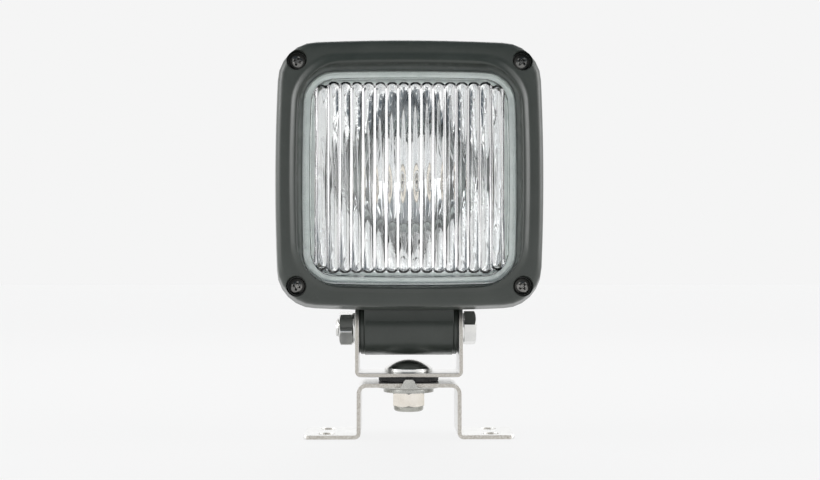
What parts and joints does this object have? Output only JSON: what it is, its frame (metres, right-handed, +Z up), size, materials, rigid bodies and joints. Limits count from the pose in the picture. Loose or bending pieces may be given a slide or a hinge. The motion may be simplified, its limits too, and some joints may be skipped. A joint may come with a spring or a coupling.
{
  "type": "fog light",
  "caption": "Square fog lamp head with a fluted lens, tilting in a fork bracket that swivels on a hat-shaped foot bracket.",
  "frame": {"origin": "centre of the four foot holes, on the underside of the feet, under the swivel axis", "axes": "+Z up along the swivel axis, the lamp shines towards -Y, the tilt axis is parallel to X"},
  "size_m": [0.1356, 0.1015, 0.2006],
  "materials": {
    "zinc": "bright zinc plate, matt",
    "bright_steel": "zinc plated",
    "rubber": "matt black",
    "seal_grey": "matt grey",
    "nylon": "moulded",
    "head_paint": "die cast, fine matt powder coat",
    "black_plastic": "moulded",
    "lens_glass": "pressed clear glass",
    "reflector_coat": "vacuum aluminised",
    "bulb_glass": "clear quartz",
    "filament": "tungsten",
    "screw_steel": "dull plated",
    "brass": "turned",
    "feed_wire": "sleeved",
    "earth_wire": "sleeved"
  },
  "bodies": {
    "mounting_bracket": {"hat_bracket": "zinc", "locking_disc": "zinc"},
    "swivel_fork": {"yoke": "zinc", "friction_pad": "rubber", "carriage_bolt": "bright_steel", "flat_washer": "bright_steel", "lock_nut": "bright_steel", "lock_nut_insert": "nylon", "pivot_bolt": "bright_steel", "pivot_nut": "bright_steel", "washer_left": "bright_steel", "washer_right": "bright_steel"},
    "lamp_head": {"housing": "head_paint", "pivot_sleeve": "bright_steel", "bush_left": "black_plastic", "bush_right": "black_plastic", "bezel": "head_paint", "bezel_gasket": "rubber", "lens": "lens_glass", "lens_seal": "seal_grey", "reflector": "reflector_coat", "bulb_base": "bright_steel", "bulb_glass": "bulb_glass", "bulb_filament": "filament", "bulb_contact": "bright_steel", "clip_post": "bright_steel", "bezel_screws": "screw_steel", "threaded_inserts": "brass", "gland_body": "black_plastic", "gland_nut": "black_plastic", "gland_seal": "rubber", "breather_vent": "black_plastic", "feed_lead": "feed_wire", "earth_lead": "earth_wire"},
    "bulb_spring": {"bulb_clip": "bright_steel"}
  },
  "joints": [
    {"name": "bracket_swivel", "type": "hinge", "parent": "mounting_bracket", "child": "swivel_fork", "pos_m": [0, 0, 0.028], "axis": [0, 0, 1], "range_deg": [-180, 180]},
    {"name": "head_tilt", "type": "hinge", "parent": "swivel_fork", "child": "lamp_head", "pos_m": [0, 0, 0.0555], "axis": [1, 0, 0], "range_deg": [-60, 45]},
    {"name": "bulb_clip_swing", "type": "hinge", "parent": "lamp_head", "child": "bulb_spring", "pos_m": [0.017, 0.0328, 0.1313], "axis": [0, 0, 1], "range_deg": [-15, 0]}
  ]
}
